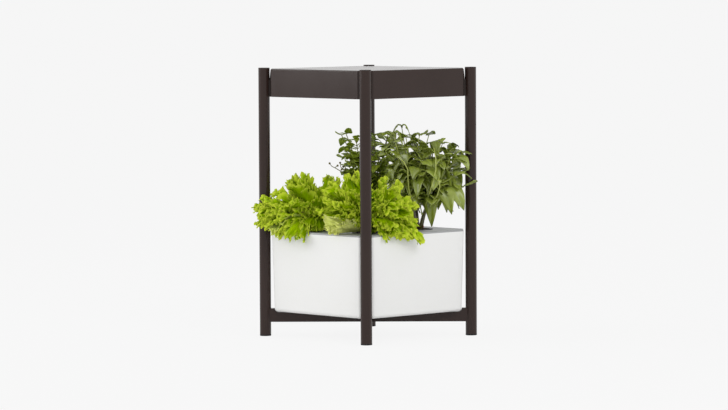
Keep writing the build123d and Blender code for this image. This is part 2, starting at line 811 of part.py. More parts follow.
with BuildPart() as pump_cover:
    with BuildSketch(facing_x(pump_front, 0, axle_height)):
        Rectangle(pump_width - 2 * pump_rounding, pump_height - 2 * pump_rounding)
        with GridLocations(intake_pitch, 0, intake_count, 1):
            Rectangle(intake_width, vane_radius, mode=Mode.SUBTRACT)
    extrude(amount=pump_cover_thickness)
    with BuildSketch(facing_x(pump_front, 0, axle_height)):
        Circle(hub_radius)
    extrude(amount=pump_cover_thickness)
    with BuildSketch(facing_x(pump_front, 0, axle_height)):
        Circle(shaft_radius)
    extrude(amount=shaft_cover_seat, mode=Mode.SUBTRACT)
write(pump_cover, "pump_cover")

with BuildPart() as shaft:
    with BuildSketch(facing_x(rotor_bore_end - shaft_seat, 0, axle_height)):
        Circle(shaft_radius)
    extrude(amount=pump_front + shaft_cover_seat - rotor_bore_end + shaft_seat)
write(shaft, "pump_shaft")

with BuildPart() as impeller:
    with BuildSketch(facing_x(rotor_front - rotor_length, 0, axle_height)):
        Circle(rotor_radius)
    extrude(amount=rotor_length)
    with BuildSketch(facing_x(rotor_front, 0, axle_height)):
        Circle(vane_radius)
    extrude(amount=vane_disc_thickness)
    with BuildSketch(facing_x(rotor_front + vane_disc_thickness, 0, axle_height)):
        Circle(hub_radius)
        with PolarLocations(vane_radius / 2, vane_count):
            Rectangle(vane_radius, vane_thickness)
    extrude(amount=vane_height)
    with BuildSketch(facing_x(rotor_front - rotor_length, 0, axle_height)):
        Circle(shaft_radius + running_gap)
    extrude(amount=rotor_length + vane_disc_thickness + vane_height, mode=Mode.SUBTRACT)
write(impeller, "pump_impeller")

pipe_bore = spigot_radius + push_fit
pipe_top = deck_underside - pipe_top_gap
with BuildPart() as pipe:
    with BuildSketch(spot(outlet_x, 0, pump_top)):
        Circle(pipe_bore + pipe_wall)
    extrude(amount=pipe_top - pump_top)
    with BuildSketch(spot(outlet_x, 0, pump_top)):
        Circle(pipe_bore)
    extrude(amount=pipe_top - pump_top - pipe_wall, mode=Mode.SUBTRACT)
    with BuildSketch(facing_x(outlet_x - 2 * pipe_bore, 0, pipe_top - pipe_port_drop)):
        Circle(pipe_port_radius)
    extrude(amount=4 * pipe_bore, mode=Mode.SUBTRACT)
write(pipe, "riser_pipe")

# ---- drain plug under the tank, with its sealing ring ----
seal_bottom = tank_bottom - drain_seal_thickness
with BuildPart() as drain_plug:
    with BuildSketch(spot(0, drain_y, seal_bottom - drain_head_height)):
        Circle(drain_head_radius)
    extrude(amount=drain_head_height)
    with BuildSketch(spot(0, drain_y, seal_bottom)):
        Circle(drain_radius)
    extrude(amount=drain_seal_thickness + tank_wall + drain_shank)
    with BuildSketch(spot(0, drain_y, seal_bottom - drain_head_height - grip_depth)):
        Rectangle(2 * drain_radius, grip_width)
    extrude(amount=grip_depth)
write(drain_plug, "drain_plug")

with BuildPart() as drain_seal:
    with BuildSketch(spot(0, drain_y, seal_bottom)):
        Circle(drain_radius + drain_clearance + drain_seal_overlap)
        Circle(drain_radius, mode=Mode.SUBTRACT)
    extrude(amount=drain_seal_thickness)
write(drain_seal, "drain_seal")

# ---- growing pots and grow plugs ----
pot_taper = (pot_body_radius - pot_base_radius) / pot_depth

for name, angle in corners.items():
    pot_reach = pot_offset * root_two
    with BuildPart() as pot:
        with BuildSketch(on_diagonal(angle, pot_reach, pot_bottom)):
            Circle(pot_base_radius)
        with BuildSketch(on_diagonal(angle, pot_reach, deck_top)):
            Circle(pot_body_radius)
        loft()
        with BuildSketch(on_diagonal(angle, pot_reach, deck_top)):
            Circle(pot_hole_radius + pot_flange_width)
        extrude(amount=pot_flange_thickness)
        with BuildSketch(on_diagonal(angle, pot_reach, pot_bottom + pot_wall)):
            Circle(pot_base_radius + pot_taper * pot_wall - pot_wall)
        with BuildSketch(on_diagonal(angle, pot_reach, pot_top)):
            Circle(pot_body_radius + pot_taper * pot_flange_thickness - pot_wall)
        loft(mode=Mode.SUBTRACT)
        for index in range(pot_slot_count // 2):
            turn = angle + (index + 0.5) * full_turn / pot_slot_count
            centre = on_diagonal(angle, pot_reach, pot_bottom + pot_slot_inset + pot_slot_height / 2).origin
            across = Vector(cos(radians(turn)), sin(radians(turn)), 0)
            cut_plane = Plane(origin=centre - across * pot_hole_radius, x_dir=(0, 0, 1), z_dir=across)
            with BuildSketch(cut_plane):
                SlotOverall(pot_slot_height, pot_slot_width)
            extrude(amount=2 * pot_hole_radius, mode=Mode.SUBTRACT)
    write(pot, f"{name}_pot")

    with BuildPart() as grow_plug:
        with BuildSketch(on_diagonal(angle, pot_reach, pot_bottom + pot_wall)):
            Circle(pot_base_radius + pot_taper * pot_wall - pot_wall - plug_gap)
        with BuildSketch(on_diagonal(angle, pot_reach, plug_top)):
            Circle(pot_body_radius - pot_wall - plug_gap)
        loft()
    write(grow_plug, f"{name}_grow_plug")


# ---- plants: a stem under tiers of leaves, each plant in its own quarter of the plan ----
outer_ring = leaf_reach - pot_offset


def swollen(lower, upper, swell):
    # the middle of a tier, pushed out square to the line between its ends
    (low_radius, low_height), (high_radius, high_height) = lower, upper
    span = hypot(high_radius - low_radius, high_height - low_height)
    return ((low_radius + high_radius) / 2 + swell * (high_height - low_height) / span,
            (low_height + high_height) / 2 + swell * (low_radius - high_radius) / span)


def plant(name, angle, underside, droop, tiers):
    # revolved outline, trimmed to its quarter, to the deck and its rim, and round the post
    along_x, along_y = signs(angle)
    axis_reach = pot_offset * root_two
    quarter_middle = (post_reach + plant_gap / 2) / 2
    under_height = underside[1]
    upright = along_side(angle, axis_reach, plug_top)
    outline = [(0, under_height), underside, swollen(underside, tiers[0], droop), tiers[0]]
    for lower, upper in zip(tiers, tiers[1:]):
        outline += [swollen(lower, upper, leaf_bulge), upper]
    with BuildPart() as body:
        with BuildSketch(upright):
            with BuildLine():
                Polyline(*outline, close=True)
            make_face()
        revolve(axis=Axis(upright.origin, (0, 0, 1)))
        with BuildSketch(spot(along_x * quarter_middle, along_y * quarter_middle, tank_bottom)):
            Rectangle(post_reach - plant_gap / 2, post_reach - plant_gap / 2)
        extrude(amount=hood_bottom - tank_bottom, mode=Mode.INTERSECT)
        with BuildSketch(Plane.XY.offset(tank_bottom)):
            Rectangle(tank_side_top + 2 * soft_gap, tank_side_top + 2 * soft_gap)
        extrude(amount=pot_top + soft_gap - tank_bottom, mode=Mode.SUBTRACT)
        with BuildSketch(on_diagonal(angle, post_reach, tank_bottom)):
            Circle(post_radius + soft_gap)
        extrude(amount=hood_bottom - tank_bottom, mode=Mode.SUBTRACT)
        with BuildSketch(on_diagonal(angle, axis_reach, plug_top)):
            Circle(stem_radius)
        extrude(amount=under_height + stem_radius)
    write(body, name)


lettuce_underside = (lettuce_heart, lettuce_under_height)
for name, crown_height in (("left", left_crown_height), ("front", front_crown_height)):
    plant(f"{name}_lettuce", corners[name], lettuce_underside, lettuce_droop, [
        (outer_ring, lettuce_rim_height),
        (lettuce_low_radius, lettuce_low_height),
        (lettuce_middle_radius, lettuce_middle_height),
        (0, crown_height),
    ])

bush_underside = (bush_heart, bush_under_height)
bushes = {"basil_plant": ("right", basil_height), "herb_plant": ("back", herb_height)}
for name, (corner, crown_height) in bushes.items():
    plant(name, corners[corner], bush_underside, leaf_bulge, [
        (outer_ring, bush_rim_height),
        (bush_low_radius, bush_low_height),
        (bush_middle_radius, crown_height - bush_crown_height),
        (0, crown_height),
    ])
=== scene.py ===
import bpy
import bmesh
import math
import random
from mathutils import Matrix, Vector, noise


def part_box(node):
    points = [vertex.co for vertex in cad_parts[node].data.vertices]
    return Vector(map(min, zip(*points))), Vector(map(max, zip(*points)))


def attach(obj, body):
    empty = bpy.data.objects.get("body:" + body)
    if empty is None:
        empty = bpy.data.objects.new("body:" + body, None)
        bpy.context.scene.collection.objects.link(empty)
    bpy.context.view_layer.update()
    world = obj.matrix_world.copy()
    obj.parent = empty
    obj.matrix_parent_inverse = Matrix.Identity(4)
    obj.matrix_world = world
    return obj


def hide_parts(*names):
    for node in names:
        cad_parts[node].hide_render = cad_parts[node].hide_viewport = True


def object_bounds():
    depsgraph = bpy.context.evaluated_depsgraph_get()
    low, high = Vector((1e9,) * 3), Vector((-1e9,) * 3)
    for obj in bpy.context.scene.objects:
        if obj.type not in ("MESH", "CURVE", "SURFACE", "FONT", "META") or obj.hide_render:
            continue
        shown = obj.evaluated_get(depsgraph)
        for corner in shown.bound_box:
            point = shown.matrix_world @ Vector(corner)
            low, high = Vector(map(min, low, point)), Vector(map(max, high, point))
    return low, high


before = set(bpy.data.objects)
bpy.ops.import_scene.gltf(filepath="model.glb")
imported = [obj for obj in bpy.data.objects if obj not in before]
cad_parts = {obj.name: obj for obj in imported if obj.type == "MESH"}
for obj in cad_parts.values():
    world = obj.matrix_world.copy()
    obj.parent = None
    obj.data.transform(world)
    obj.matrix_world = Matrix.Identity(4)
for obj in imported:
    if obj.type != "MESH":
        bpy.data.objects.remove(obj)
cadLow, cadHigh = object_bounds()
noise.seed_set(12)       # noise_vector would start from the clock without it

# places taken from the frame
scene = bpy.context.scene
corners = {"right": 45, "back": 135, "left": 225, "front": 315}     # degrees round the stand
plugs = {name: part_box(f"{name}_grow_plug") for name in corners}
postLow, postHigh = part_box("right_post")
postRadius = (postHigh.x - postLow.x) / 2
postPlace = (postLow.x + postHigh.x) / 2        # from the stand's axis, along x and along y
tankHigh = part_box("water_tank")[1]
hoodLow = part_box("hood_shell")[0]
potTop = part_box("left_pot")[1].z
leafReach = cadHigh.x


# camera, floor and light
camera = {
    "azimuth": 46.11,       # degrees, 0 looks along +Y
    "elevation": 3.39,
    "distance": 10.515,     # metres
    "roll": -0.28,
    "aimSide": -0.010,      # metres to the side of the stand's axis
    "aimHeight": 0.3464,
    "lens": 196.33,         # millimetres, like the sensor
    "sensor": 36.0,
    "clip": (0.1, 1000),
}


def outwards(azimuth, elevation):
    # from the stand's axis towards what stands round it, angles in degrees
    turned, raised = math.radians(azimuth), math.radians(elevation)
    return Vector((math.sin(turned) * math.cos(raised), -math.cos(turned) * math.cos(raised),
                   math.sin(raised)))


def rightwards(azimuth):
    # level and to the right, as seen from that azimuth
    turned = math.radians(azimuth)
    return Vector((math.cos(turned), math.sin(turned), 0))


def placeCamera(spec):
    back = outwards(spec["azimuth"], spec["elevation"])
    aim = rightwards(spec["azimuth"]) * spec["aimSide"] + Vector((0, 0, spec["aimHeight"]))
    data = bpy.data.cameras.new("viewCamera")
    data.lens, data.sensor_width = spec["lens"], spec["sensor"]
    data.clip_start, data.clip_end = spec["clip"]
    cam = bpy.data.objects.new("viewCamera", data)
    scene.collection.objects.link(cam)
    roll = Matrix.Rotation(math.radians(spec["roll"]), 3, "Z")
    turn = (-back).to_track_quat("-Z", "Y").to_matrix() @ roll
    cam.matrix_world = Matrix.Translation(aim + back * spec["distance"]) @ turn.to_4x4()
    scene.camera = cam


# a wrapped socket, so that shader maths is written as plain expressions
class Wire:
    def __init__(self, tree, socket=None):
        self.tree = tree
        self.socket = socket

    def node(self, kind, settings=None, inputs=None, output=0):
        made = self.tree.nodes.new(kind)
        for key, value in (settings or {}).items():
            setattr(made, key, value)
        for key, value in (inputs or {}).items():
            if isinstance(value, Wire):
                self.tree.links.new(value.socket, made.inputs[key])
            else:
                made.inputs[key].default_value = value
        return Wire(self.tree, made.outputs[output] if made.outputs else None)

    def maths(self, operation, first, second=None):
        inputs = {0: first} if second is None else {0: first, 1: second}
        return self.node("ShaderNodeMath", {"operation": operation}, inputs)

    def __add__(self, other):
        return self.maths("ADD", self, other)

    def __radd__(self, other):
        return self.maths("ADD", other, self)

    def __sub__(self, other):
        return self.maths("SUBTRACT", self, other)

    def __rsub__(self, other):
        return self.maths("SUBTRACT", other, self)

    def __mul__(self, other):
        return self.maths("MULTIPLY", self, other)

    def __rmul__(self, other):
        return self.maths("MULTIPLY", other, self)

    def clamped(self):
        return self.node("ShaderNodeClamp", None, {"Value": self})

    def between(self, low, high):
        # 0 below low, 1 above high and a smooth step from one to the other
        return self.node("ShaderNodeMapRange", {"interpolation_type": "SMOOTHSTEP"},
                         {"Value": self, "From Min": low, "From Max": high})


def paint(colour):
    return colour if isinstance(colour, Wire) else (*colour, 1)


def blend(wire, factor, first, second):
    # a Mix node's colours are its sockets 6 and 7, and its colour output is the third
    return wire.node("ShaderNodeMix", {"data_type": "RGBA"},
                     {0: factor, 6: paint(first), 7: paint(second)}, 2)


def material(name):
    made = bpy.data.materials.new(name)
    made.use_nodes = True
    made.node_tree.nodes.clear()
    return made, Wire(made.node_tree)


noiseMiddle = 0.5       # what a noise texture gives on average


def grain(wire, place, scale, detail):
    return wire.node("ShaderNodeTexNoise", None, {"Vector": place, "Scale": scale, "Detail": detail})


def objectPlace(wire):
    return wire.node("ShaderNodeTexCoord", output="Object")


def attribute(wire, name):
    return wire.node("ShaderNodeAttribute", {"attribute_name": name}, output="Fac")


def finishSurface(made, wire, shader):
    wire.node("ShaderNodeOutputMaterial", None, {"Surface": shader})
    return made


def srgb(red, green, blue):
    # screen values of 0 to 255 as the linear values that nodes take
    def linear(value):
        value /= 255
        return value / 12.92 if value <= 0.04045 else ((value + 0.055) / 1.055) ** 2.4
    return tuple(linear(value) for value in (red, green, blue))


# finishes of the hard pieces; grain is the scale of the flecks and bump how far they stand out
finishes = {
    "bronzePaint": {"colour": srgb(47, 34, 30), "fleck": srgb(53, 40, 36),
                    "roughness": 0.17, "grain": 900.0, "bump": 0.03, "specular": 0.26},
    "darkPlastic": {"colour": srgb(44, 35, 32), "fleck": srgb(50, 41, 38),
                    "roughness": 0.5, "grain": 1400.0, "bump": 0.05, "specular": 0.2},
    "rubber": {"colour": srgb(32, 31, 31), "fleck": srgb(42, 41, 40),
               "roughness": 0.8, "grain": 700.0, "bump": 0.1, "specular": 0.3},
    "blackSteel": {"colour": srgb(52, 50, 48), "fleck": srgb(70, 67, 64),
                   "roughness": 0.38, "grain": 500.0, "bump": 0.05, "metallic": 0.8},
    "tankWhite": {"colour": srgb(240, 240, 239), "fleck": srgb(239, 239, 237),
                  "roughness": 0.42, "grain": 160.0, "bump": 0.004, "specular": 0.4},
    "deckGrey": {"colour": srgb(168, 169, 170), "fleck": srgb(162, 163, 164),
                 "roughness": 0.42, "grain": 300.0, "bump": 0.02, "specular": 0.4},
    "softWhite": {"colour": srgb(240, 240, 239), "fleck": srgb(235, 235, 234),
                  "roughness": 0.45, "grain": 300.0, "bump": 0.02, "specular": 0.4},
    "opal": {"colour": srgb(232, 232, 228), "fleck": srgb(224, 224, 220),
             "roughness": 0.55, "grain": 1600.0, "bump": 0.08, "specular": 0.4},
    "aluminium": {"colour": srgb(205, 206, 208), "fleck": srgb(182, 184, 187),
                  "roughness": 0.34, "grain": 260.0, "bump": 0.04, "metallic": 1.0},
    "board": {"colour": srgb(228, 232, 228), "fleck": srgb(206, 214, 206),
              "roughness": 0.4, "grain": 320.0, "bump": 0.02},
    "led": {"colour": srgb(246, 226, 130), "fleck": srgb(250, 240, 190),
            "roughness": 0.3, "grain": 900.0, "bump": 0.01},
    "brass": {"colour": srgb(214, 178, 100), "fleck": srgb(190, 152, 80),
              "roughness": 0.3, "grain": 600.0, "bump": 0.03, "metallic": 1.0},
    "pilot": {"colour": srgb(120, 210, 150), "fleck": srgb(160, 230, 180),
              "roughness": 0.2, "grain": 500.0, "bump": 0.01},
    "steel": {"colour": srgb(200, 200, 202), "fleck": srgb(176, 176, 180),
              "roughness": 0.25, "grain": 420.0, "bump": 0.02, "metallic": 1.0},
    "clear": {"colour": srgb(214, 224, 228), "fleck": srgb(226, 234, 237),
              "roughness": 0.18, "grain": 300.0, "bump": 0.01},
    "red": {"colour": srgb(196, 48, 34), "fleck": srgb(176, 40, 30),
            "roughness": 0.3, "grain": 500.0, "bump": 0.02},
    "pumpBlack": {"colour": srgb(38, 38, 41), "fleck": srgb(50, 50, 53),
                  "roughness": 0.5, "grain": 1100.0, "bump": 0.05},
    "potBlack": {"colour": srgb(34, 34, 33), "fleck": srgb(46, 46, 44),
                 "roughness": 0.48, "grain": 1200.0, "bump": 0.05},
    "growMedium": {"colour": srgb(56, 40, 26), "fleck": srgb(104, 78, 50),
                   "roughness": 0.95, "grain": 420.0, "bump": 0.9, "specular": 0.15},
}
hardGrain = {               # what all hard finishes share
    "fineDetail": 3.0,
    "broadScale": 9.0,
    "broadDetail": 2.0,
    "fineShare": 0.65,      # of the two noises that place the flecks
    "broadShare": 0.35,
    "fleckRange": (0.3, 0.7),
    "broadRoughness": 0.10,
    "fineRoughness": 0.06,
    "bumpDistance": 0.0004,
}


def hardFinish(name, spec):
    made, wire = material(name)
    place = objectPlace(wire)
    fine = grain(wire, place, spec["grain"], hardGrain["fineDetail"])
    broad = grain(wire, place, hardGrain["broadScale"], hardGrain["broadDetail"])
    mottle = hardGrain["fineShare"] * fine + hardGrain["broadShare"] * broad
    colour = blend(wire, mottle.between(*hardGrain["fleckRange"]), spec["colour"], spec["fleck"])
    rough = spec["roughness"] + hardGrain["broadRoughness"] * (broad - noiseMiddle)
    rough = rough + hardGrain["fineRoughness"] * (fine - noiseMiddle)
    normal = wire.node("ShaderNodeBump", None, {
        "Strength": spec["bump"], "Distance": hardGrain["bumpDistance"], "Height": fine})
    shader = wire.node("ShaderNodeBsdfPrincipled", None, {
        "Base Color": colour, "Roughness": rough, "Metallic": spec.get("metallic", 0.0),
        "Specular IOR Level": spec.get("specular", 0.5), "Normal": normal})
    return finishSurface(made, wire, shader)


# how a node's name ends, and its finish
nodeFinish = {
    "_post": "bronzePaint", "_post_cap": "darkPlastic", "_foot": "rubber", "_brace_bar": "bronzePaint",
    "_screws": "blackSteel", "hood_shell": "bronzePaint", "_hood_spacer": "darkPlastic",
    "light_diffuser": "opal", "lamp_plate": "aluminium", "lamp_pillars": "aluminium",
    "led_strips": "board", "control_board": "board", "grow_leds": "led", "lamp_driver": "softWhite",
    "board_stands": "brass", "button_tube": "darkPlastic", "power_button": "darkPlastic",
    "power_socket": "darkPlastic", "pilot_lens": "pilot", "tank_pads": "rubber",
    "water_tank": "tankWhite", "deck": "deckGrey", "filling_flap": "deckGrey",
    "flap_hinge_pin": "steel", "pump_shaft": "steel", "gauge_tube": "clear", "level_float": "red",
    "pump_feet": "rubber", "drain_seal": "rubber", "pump_body": "pumpBlack",
    "pump_cover": "pumpBlack", "pump_impeller": "pumpBlack", "riser_pipe": "softWhite",
    "drain_plug": "softWhite", "_pot": "potBlack", "_grow_plug": "growMedium",
}


def dressNodes():
    built = {name: hardFinish(name, spec) for name, spec in finishes.items()}
    for node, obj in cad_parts.items():
        finish = next((value for key, value in nodeFinish.items() if node.endswith(key)), None)
        if finish:      # the four plants have none, because leaves take their place
            obj.data.materials.clear()
            obj.data.materials.append(built[finish])


stage = {
    "floorHalf": 200.0,      # metres
    "backdrop": srgb(248, 248, 248),
    "bounce": 0.80,          # what the floor and the surroundings throw back on the object
    "shadowShare": 0.06,     # how much of its shading the floor shows to the camera
}


def seenRays(wire):
    # 1 for rays from the camera and for mirrored ones, 0 for rays that gather light
    direct = wire.node("ShaderNodeLightPath", output="Is Camera Ray")
    mirrored = wire.node("ShaderNodeLightPath", output="Is Glossy Ray")
    return wire.maths("MAXIMUM", direct, mirrored)


def buildFloor(spec):
    mesh = bmesh.new()
    bmesh.ops.create_grid(mesh, x_segments=1, y_segments=1, size=spec["floorHalf"])
    data = bpy.data.meshes.new("floor")
    mesh.to_mesh(data)
    mesh.free()
    floor = bpy.data.objects.new("floor", data)
    scene.collection.objects.link(floor)
    made, wire = material("paleFloor")
    plain = seenRays(wire) * (1 - spec["shadowShare"])
    lit = wire.node("ShaderNodeBsdfDiffuse", None, {"Color": paint((spec["bounce"],) * 3)})
    glow = wire.node("ShaderNodeEmission", None, {"Color": paint(spec["backdrop"]), "Strength": 1.0})
    finishSurface(made, wire, wire.node("ShaderNodeMixShader", None, {0: plain, 1: lit, 2: glow}))
    data.materials.append(made)


def buildWorld(spec):
    world = bpy.data.worlds.new("studio")
    scene.world = world
    world.use_nodes = True
    world.node_tree.nodes.clear()
    sky = Wire(world.node_tree)
    shown = sky.node("ShaderNodeBackground", None, {"Color": paint(spec["backdrop"]), "Strength": 1.0})
    lights = sky.node("ShaderNodeBackground", None, {"Color": (1, 1, 1, 1), "Strength": spec["bounce"]})
    mixed = sky.node("ShaderNodeMixShader", None, {0: seenRays(sky), 1: lights, 2: shown})
    sky.node("ShaderNodeOutputWorld", None, {"Surface": mixed})


# angles in degrees, as for the camera; distance, size and height in metres, power in watts
lamps = {
    "softLeft": {"azimuth": -44, "elevation": 20, "distance": 4.0, "size": 2.2, "power": 44.0,
                 "aimHeight": 0.35},
    "softRight": {"azimuth": 78, "elevation": 32, "distance": 4.5, "size": 2.2, "power": 44.0,
                  "aimHeight": 0.35},
}


def addLamps(specs):
    for name, spec in specs.items():
        back = outwards(spec["azimuth"], spec["elevation"])
        data = bpy.data.lights.new(name, "AREA")
        data.shape, data.size, data.energy = "DISK", spec["size"], spec["power"]
        lamp = bpy.data.objects.new(name, data)
        lamp.location = Vector((0, 0, spec["aimHeight"])) + back * spec["distance"]
        lamp.rotation_euler = (-back).to_track_quat("-Z", "Y").to_euler()
        scene.collection.objects.link(lamp)


# leaves: grids bent into shape, with attributes that the leaf finishes read
leafLayers = ("rim", "along", "across", "tone", "pale", "stalk")
up = Vector((0, 0, 1))
view = {
    "focal": 3970.0,        # pixels, like the next two
    "middle": 367.8,        # the column of the stand's axis
    "horizon": -32.0,       # the row at the eye's height
    "eye": 0.974,           # metres above the floor
}


def framePoint(across, down, near):
    # a point by its column and row in the view and its distance in front of the stand's axis
    depth = camera["distance"] - near
    level = (across - view["middle"]) * depth / view["focal"]
    height = view["eye"] - (down - view["horizon"]) * depth / view["focal"]
    azimuth = camera["azimuth"]
    return rightwards(azimuth) * level + outwards(azimuth, 0) * near + up * height


def outlineAt(outline, across):
    # the outline's highest and lowest rows in that column
    for (x0, top0, low0), (x1, top1, low1) in zip(outline, outline[1:]):
        if x0 <= across <= x1:
            share = (across - x0) / (x1 - x0)
            return top0 + (top1 - top0) * share, low0 + (low1 - low0) * share
    return outline[-1][1:]


dome = {
    "column": (0.15, 0.85),     # where in its column a leaf tip may stand
    "row": (0.1, 0.9),
    "rim": 0.15,                # share of the dome's depth that its outline has
    "depth": (0.75, 1.0),       # share of the depth that a tip reaches
}


def domeTips(spec, dice):
    # places spread over a domed outline, on its near side first and then on its far side
    first, last = spec["outline"][0][0], spec["outline"][-1][0]
    tips = []
    for facing, columns, rows in ((1, *spec["near"]), (-1, *spec["far"])):
        for column in range(columns):
            for row in range(rows):
                across = first + (last - first) * (column + dice.uniform(*dome["column"])) / columns
                top, low = outlineAt(spec["outline"], across)
                down = top + (low - top) * (row + dice.uniform(*dome["row"])) / rows
                inset = min(across - first, last - across, down - top, low - down) / spec["inset"]
                bulge = math.sqrt(1 - (1 - min(1.0, max(0.0, inset))) ** 2)
                bulge = dome["rim"] + (1 - dome["rim"]) * bulge
                depth = spec["depth"] * bulge * dice.uniform(*dome["depth"])
                tips.append(framePoint(across, down, spec["middle"] + facing * depth))
    return tips


def startPlant():
    mesh = bmesh.new()
    return mesh, {key: mesh.verts.layers.float.new(key) for key in leafLayers}


def finishPlant(mesh, name, finish, thickness):
    data = bpy.data.meshes.new(name)
    mesh.to_mesh(data)
    mesh.free()
    data.polygons.foreach_set("use_smooth", [True] * len(data.polygons))
    piece = bpy.data.objects.new(name, data)
    scene.collection.objects.link(piece)
    data.materials.append(finish)
    solid = piece.modifiers.new("leafThickness", "SOLIDIFY")
    solid.thickness, solid.offset = thickness, 0
    return piece


def settle(piece, corner, node):
    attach(piece, f"{corner}_growing_pot")
    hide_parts(node)


def plantBase(corner):
    # the middle of the grow plug's top
    low, high = plugs[corner]
    return Vector(((low.x + high.x) / 2, (low.y + high.y) / 2, high.z))


def quarter(corner):
    # the signs of x and y in a plant's own quarter of the plan
    turned = math.radians(corners[corner])
    return (1 if math.cos(turned) > 0 else -1), (1 if math.sin(turned) > 0 else -1)


room = {
    "middle": 0.0015,       # kept from the planes between the plants
    "outer": 0.0015,        # kept from the outermost reach
    "soft": 0.020,          # how far before a limit the crowding starts
    "post": 0.0025,         # kept from the posts
    "before": 0.030,        # how far inside of a post a leaf takes its side of it
    "deck": 0.0015,         # kept above the deck and below the hood
    "droop": 0.048,         # how far leaves may hang below the tank's rim
}


def crowd(value, limit, soft):
    # values past limit - soft are pressed together below the limit
    start = limit - soft
    return value if value < start else limit - soft * math.exp((start - value) / soft)


def sideOfPost(point, corner):
    signX, signY = quarter(corner)
    return 1 if point.x * signX > point.y * signY else -1


def keepClear(point, corner, side):
    # the point moved into its plant's own room, and to its leaf's side of the post
    signX, signY = quarter(corner)
    x, y, z = point.x * signX, point.y * signY, point.z
    x = -crowd(-x, -room["middle"], room["soft"])
    y = -crowd(-y, -room["middle"], room["soft"])
    x = crowd(x, leafReach - room["outer"], room["soft"])
    y = crowd(y, leafReach - room["outer"], room["soft"])
    clear = postRadius + room["post"]
    outward, beside = (x + y) / math.sqrt(2), (x - y) / math.sqrt(2)
    if outward > postPlace * math.sqrt(2) - room["before"] and beside * side < clear:
        beside = side * clear
        x, y = (outward + beside) / math.sqrt(2), (outward - beside) / math.sqrt(2)
        x, y = min(x, leafReach - room["outer"]), min(y, leafReach - room["outer"])
    rim = tankHigh.x + room["deck"]
    lowest = potTop + room["deck"] if max(x, y) < rim else tankHigh.z - room["droop"]
    return Vector((x * signX, y * signY, min(max(z, lowest), hoodLow.z - room["deck"])))


ribShape = {
    "control": 0.45,        # how far out the curve's control point stands, as a share
    "dropLift": 0.6,        # how much it rises with the drop of a tip below the base
    "shortest": 0.001,      # metres, below which a rib has no level direction of its own
}


class Rib:
    # the line of a leaf's midrib or of a stalk, from base to tip, with its own directions
    def __init__(self, base, tip, rise, roll=0.0):
        level = Vector((tip.x - base.x, tip.y - base.y, 0))
        self.level = level.normalized() if level.length > ribShape["shortest"] else Vector((1, 0, 0))
        lift = rise * (tip - base).length + ribShape["dropLift"] * max(0.0, base.z - tip.z)
        self.base, self.tip = base, tip
        self.control = base + level * ribShape["control"] + up * lift
        self.roll = roll

    def at(self, share):
        # the place on the line, with its directions along, to the side and out of the leaf's face
        first, second = self.base.lerp(self.control, share), self.control.lerp(self.tip, share)
        along = (second - first).normalized()
        sideways = Vector((-self.level.y, self.level.x, 0))
        face = along.cross(sideways).normalized()
        cosine, sine = math.cos(self.roll * share), math.sin(self.roll * share)
        rolled = sideways * cosine + face * sine, face * cosine - sideways * sine
        return first.lerp(second, share), along, *rolled

    def points(self, steps):
        return [self.at(step / steps)[0] for step in range(steps + 1)]


lettuceShape = {
    "columns": 200,
    "rows": 10,
    "crowding": 1.8,        # rows stand closer towards the margin
    "fan": 1.35,            # radians from the midrib to the leaf's side
    "foot": 0.004,          # where leaves start above the grow plug
    "heart": 0.012,         # and how far from its middle
    "thickness": 0.0006,
    # ruffles have sizes in metres and the outline's waves shares; power keeps a wave to the margin
    "bend": {"size": 0.0065, "waves": 4.5, "power": 1.6},
    "broad": {"size": 0.0065, "waves": 25.0, "power": 5, "drift": 1, "slant": 0},
    "middle": {"size": 0.0052, "waves": 68.0, "power": 10, "drift": 3, "slant": 7},
    "fine": {"size": 0.0026, "waves": 170.0, "power": 16, "drift": 8, "slant": -9},
    "waveSpread": (0.85, 1.15),
    "curl": 0.9,            # how far a ruffle leans outwards, as a share of its height
    "slide": 0.5,           # and to its sides
    "drift": {"size": 2.2, "waves": 3.5, "plane": 0.5},                 # radians, uneven spacing
    "swell": {"size": 0.9, "waves": 4, "plane": 3.5, "middle": 0.8},    # shares, uneven height
    "lobes": {"size": 0.05, "waves": 5},
    "notches": {"size": 0.03, "waves": 13},
    "teeth": {"size": 0.040, "power": 10, "quick": 0.7, "slow": 0.31, "slowShare": 0.7},
    "narrowing": {"size": 0.20, "waves": 1.5},
    "crumple": {"size": 0.0100, "power": 1.5, "scale": 24, "wide": 20, "apart": 3,
                "finer": ((0.45, 2.7), (0.30, 6.5))},
}
# where the waves of a leaf start; one draw is spare
leafPhases = ("lobes", "notches", "bend", "spare", "drift", "middle", "fine", "broad")
plainLeaf = {"roll": 0.0, "cup": 0.3, "ruffled": 1.0, "pale": 0.0}      # unless a leaf says


def unevenness(across, spec, phase):
    return spec["size"] * noise.noise(Vector((across * spec["waves"], phase, spec["plane"])))


def leafReachShare(across, reach, shape, phase, fineAngle):
    # how far out the leaf goes there, as a share of its length
    lobes, notches, teeth = shape["lobes"], shape["notches"], shape["teeth"]
    edge = 1 + lobes["size"] * math.sin(lobes["waves"] * across + phase["lobes"])
    edge += notches["size"] * math.sin(notches["waves"] * across + phase["notches"])
    bite = math.sin(teeth["quick"] * fineAngle) + teeth["slowShare"] * math.sin(teeth["slow"] * fineAngle)
    edge += reach ** teeth["power"] * teeth["size"] * bite
    narrow = shape["narrowing"]
    edge *= 1 - narrow["size"] + narrow["size"] * math.cos(narrow["waves"] * across)
    return reach * edge


def crumpled(point, wide, reach, spec, phase):
    # how far the noise moves the point, the further the nearer it is to the margin
    spot = point * spec["scale"]
    spot = spot + Vector((phase["lobes"], phase["notches"], wide * spec["wide"])) * spec["apart"]
    crumple = noise.noise_vector(spot)
    for share, finer in spec["finer"]:
        crumple += share * noise.noise_vector(spot * finer)
    return crumple * spec["size"] * reach ** spec["power"]


